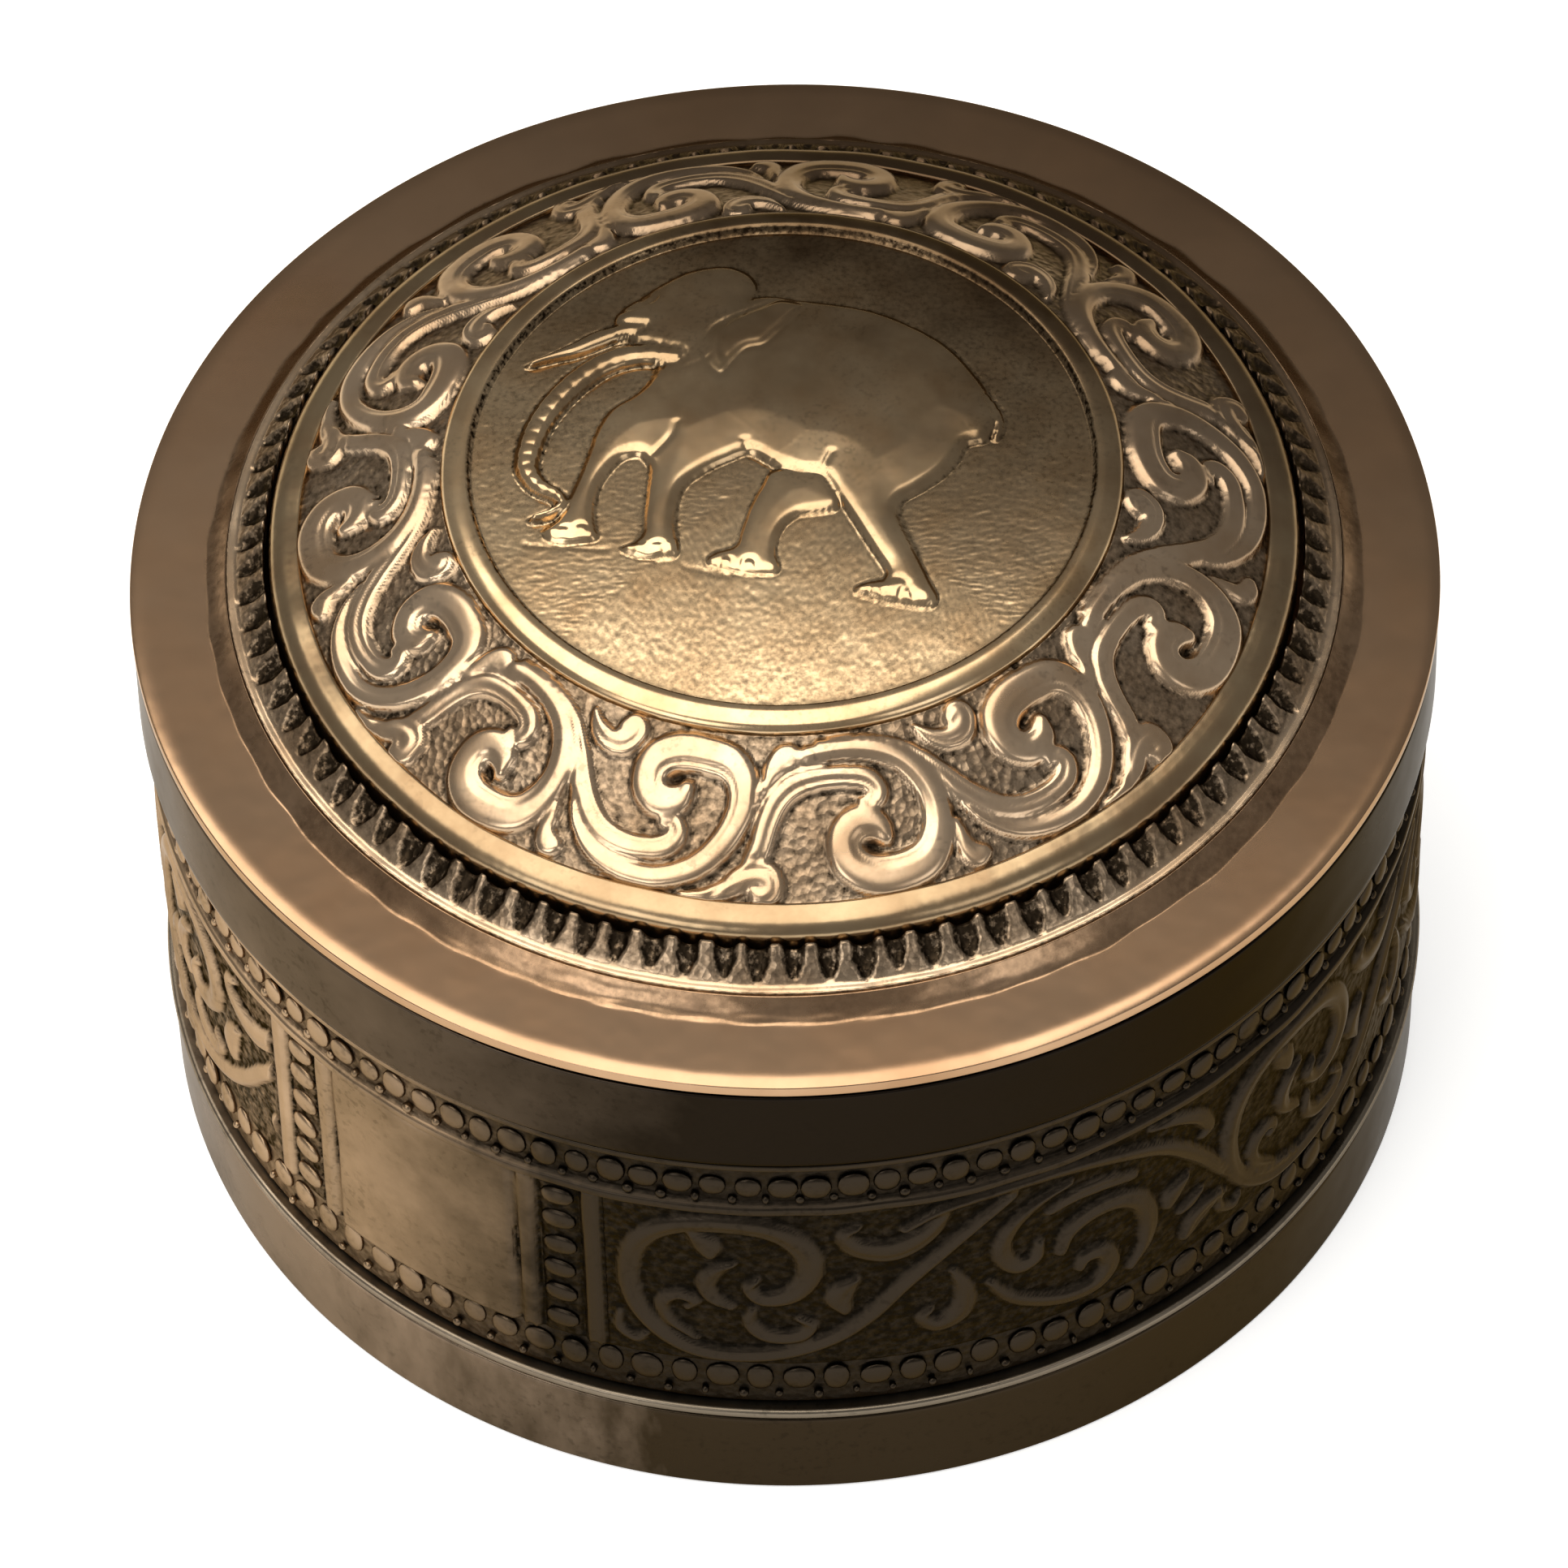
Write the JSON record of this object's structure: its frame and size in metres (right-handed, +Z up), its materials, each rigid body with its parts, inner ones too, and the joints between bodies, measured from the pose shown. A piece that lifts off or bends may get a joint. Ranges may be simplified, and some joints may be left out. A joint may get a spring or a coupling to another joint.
{
  "type": "lidded round trinket box",
  "caption": "Round chased metal trinket box with a lift-off lid: a domed plaque with scrollwork and an elephant on a plain flange, chased wall, plain foot band.",
  "frame": {"origin": "centre of the base, on the surface the box stands on", "axes": "+Z up along the axis of the round box; the blank cartouche of the wall is towards -Y and -X"},
  "size_m": [0.08, 0.08, 0.0524],
  "materials": {
    "polished_silver": "hand-polished silver with fine wear and a warm brown tarnish",
    "chased_silver": "chased silver, bright on the raised parts and dark oxide in the recesses",
    "inner_silver": "planished silver, matt from the hammer and pickle"
  },
  "bodies": {
    "box": {"base_plate": "inner_silver", "foot_band": "polished_silver", "foot_wire": "polished_silver", "body_wall": "chased_silver", "neck_collar": "inner_silver"},
    "lid": {"lid_skirt": "polished_silver", "lid_flange": "polished_silver", "notched_border": "chased_silver", "lid_dome": "chased_silver"}
  },
  "joints": [
    {"name": "lid_lift", "type": "slide", "parent": "box", "child": "lid", "axis": [0, 0, 1], "range_m": [0, 0.06]}
  ]
}
